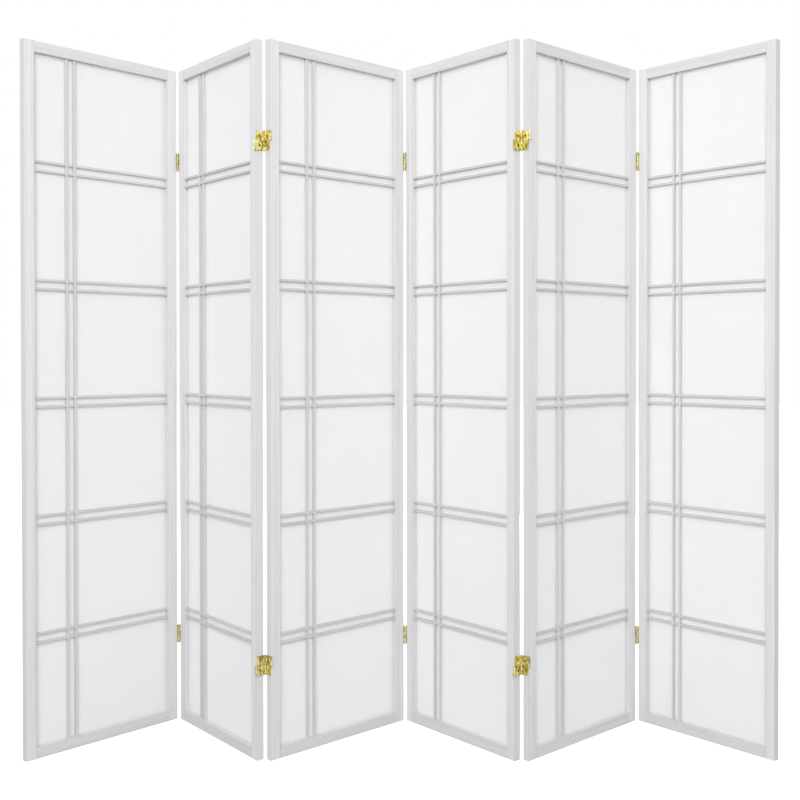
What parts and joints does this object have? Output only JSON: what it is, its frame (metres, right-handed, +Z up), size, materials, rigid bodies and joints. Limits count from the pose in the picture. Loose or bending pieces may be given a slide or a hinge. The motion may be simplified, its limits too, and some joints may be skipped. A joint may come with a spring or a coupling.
{
  "type": "folding shoji screen",
  "caption": "Free-standing folding screen of framed paper panels with doubled lattice bars, joined edge to edge by two-way brass hinges.",
  "frame": {"origin": "centre of the box around the standing screen, on the floor", "axes": "+X along the line that the screen stands along, towards its right-hand end seen from the front; +Y from the lattice side towards the back; +Z up"},
  "size_m": [1.8762, 0.3628, 1.784],
  "materials": {
    "frame_wood": "satin white lacquer over fine straight grain",
    "lattice_wood": "satin white lacquer",
    "screen_paper": "matt white fibre paper that lets light through",
    "hinge_brass": "bright polished plate",
    "screw_brass": "bright plate, cross recess"
  },
  "bodies": {
    "panel_1": {"panel_1_left_stile": "frame_wood", "panel_1_right_stile": "frame_wood", "panel_1_rails": "frame_wood", "panel_1_uprights": "lattice_wood", "panel_1_cross_bars": "lattice_wood", "panel_1_paper": "screen_paper", "panel_1_hinge_leaves": "hinge_brass", "panel_1_hinge_links": "hinge_brass", "panel_1_hinge_pins": "hinge_brass", "panel_1_hinge_screws": "screw_brass"},
    "panel_2": {"panel_2_left_stile": "frame_wood", "panel_2_right_stile": "frame_wood", "panel_2_rails": "frame_wood", "panel_2_uprights": "lattice_wood", "panel_2_cross_bars": "lattice_wood", "panel_2_paper": "screen_paper", "panel_2_hinge_leaves": "hinge_brass", "panel_2_hinge_links": "hinge_brass", "panel_2_hinge_pins": "hinge_brass", "panel_2_hinge_screws": "screw_brass"},
    "panel_3": {"panel_3_left_stile": "frame_wood", "panel_3_right_stile": "frame_wood", "panel_3_rails": "frame_wood", "panel_3_uprights": "lattice_wood", "panel_3_cross_bars": "lattice_wood", "panel_3_paper": "screen_paper", "panel_3_hinge_leaves": "hinge_brass", "panel_3_hinge_links": "hinge_brass", "panel_3_hinge_pins": "hinge_brass", "panel_3_hinge_screws": "screw_brass"},
    "panel_4": {"panel_4_left_stile": "frame_wood", "panel_4_right_stile": "frame_wood", "panel_4_rails": "frame_wood", "panel_4_uprights": "lattice_wood", "panel_4_cross_bars": "lattice_wood", "panel_4_paper": "screen_paper", "panel_4_hinge_leaves": "hinge_brass", "panel_4_hinge_links": "hinge_brass", "panel_4_hinge_pins": "hinge_brass", "panel_4_hinge_screws": "screw_brass"},
    "panel_5": {"panel_5_left_stile": "frame_wood", "panel_5_right_stile": "frame_wood", "panel_5_rails": "frame_wood", "panel_5_uprights": "lattice_wood", "panel_5_cross_bars": "lattice_wood", "panel_5_paper": "screen_paper", "panel_5_hinge_leaves": "hinge_brass", "panel_5_hinge_links": "hinge_brass", "panel_5_hinge_pins": "hinge_brass", "panel_5_hinge_screws": "screw_brass"},
    "panel_6": {"panel_6_left_stile": "frame_wood", "panel_6_right_stile": "frame_wood", "panel_6_rails": "frame_wood", "panel_6_uprights": "lattice_wood", "panel_6_cross_bars": "lattice_wood", "panel_6_paper": "screen_paper", "panel_6_hinge_leaves": "hinge_brass", "panel_6_hinge_links": "hinge_brass", "panel_6_hinge_pins": "hinge_brass", "panel_6_hinge_screws": "screw_brass"}
  },
  "joints": [
    {"name": "fold_1", "type": "hinge", "parent": "panel_2", "child": "panel_1", "pos_m": [-0.64438, 0.16192, 0], "axis": [0, 0, -1], "range_deg": [-79.5, 100.5]},
    {"name": "fold_2", "type": "hinge", "parent": "panel_3", "child": "panel_2", "pos_m": [-0.33799, -0.15832, 0], "axis": [0, 0, 1], "range_deg": [-83.5, 96.5]},
    {"name": "fold_3", "type": "hinge", "parent": "panel_3", "child": "panel_4", "pos_m": [-0.01792, 0.14825, 0], "axis": [0, 0, 1], "range_deg": [-85.5, 94.5]},
    {"name": "fold_4", "type": "hinge", "parent": "panel_4", "child": "panel_5", "pos_m": [0.29946, -0.16111, 0], "axis": [0, 0, -1], "range_deg": [-85.5, 94.5]},
    {"name": "fold_5", "type": "hinge", "parent": "panel_5", "child": "panel_6", "pos_m": [0.61953, 0.14547, 0], "axis": [0, 0, 1], "range_deg": [-86.5, 93.5]}
  ]
}
